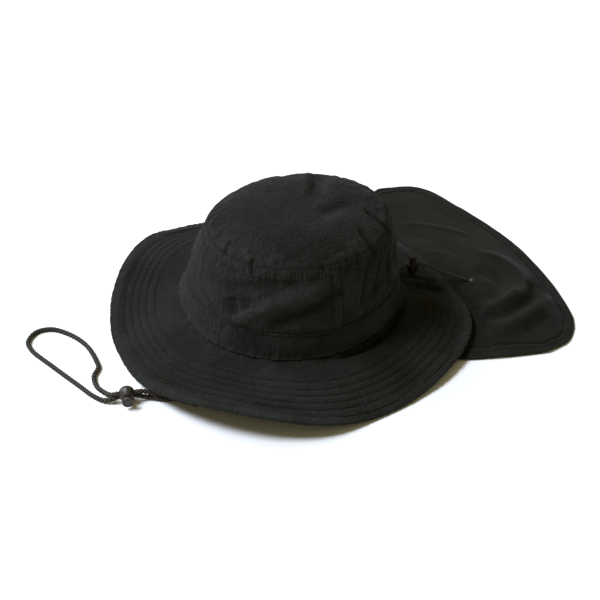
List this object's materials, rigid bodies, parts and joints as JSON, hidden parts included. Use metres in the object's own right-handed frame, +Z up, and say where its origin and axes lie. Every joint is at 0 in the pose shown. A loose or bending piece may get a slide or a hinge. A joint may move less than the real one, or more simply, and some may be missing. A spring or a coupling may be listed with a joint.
{
  "type": "safari hat with neck flap",
  "caption": "Soft wide-brimmed hat with a quilted brim, a rear neck flap, a draw cord with a cord lock at the back and a chin cord with a push-button cord lock.",
  "frame": {"origin": "on the surface that the hat lies on, under the middle of the cloth pieces' box", "axes": "+Z up; -Y towards the front of the hat, +Y towards the neck flap; +X towards the wearer's left"},
  "size_m": [0.3294, 0.4884, 0.1294],
  "materials": {
    "crown_cloth": "matt fine plain weave, very dark grey-green",
    "brim_cloth": "matt fine plain weave, quilted in rows, very dark grey-green",
    "binding_cloth": "matt folded edge strip, puckered by its stitching",
    "flap_cloth": "soft, slightly smoother knit-like cloth, very dark olive",
    "braided_cord": "braided, slight sheen, brownish black",
    "elastic_cord": "covered elastic, slight sheen, brownish black",
    "lock_plastic": "moulded, satin, brownish black"
  },
  "bodies": {
    "hat": {"crown_top": "crown_cloth", "crown_side_front": "crown_cloth", "crown_side_rear": "crown_cloth", "crown_band": "crown_cloth", "brim_front": "brim_cloth", "brim_rear": "brim_cloth", "brim_binding": "binding_cloth", "neck_flap": "flap_cloth", "chin_cord_left": "braided_cord", "chin_cord_right": "braided_cord", "chin_cord_loop": "braided_cord", "draw_cord_left": "elastic_cord", "draw_cord_right": "elastic_cord", "chin_lock_body": "lock_plastic", "draw_lock_body": "lock_plastic", "draw_cord_end": "lock_plastic"},
    "chin_button": {"chin_lock_button": "lock_plastic"},
    "draw_button": {"draw_lock_button": "lock_plastic"}
  },
  "joints": [
    {"name": "chin_button_press", "type": "slide", "parent": "hat", "child": "chin_button", "axis": [-0.9613, 0.2756, 0], "range_m": [0, 0.0025], "stiffness_N_per_m": 1000},
    {"name": "draw_button_press", "type": "slide", "parent": "hat", "child": "draw_button", "axis": [0, 0, -1], "range_m": [0, 0.002], "stiffness_N_per_m": 1000}
  ]
}
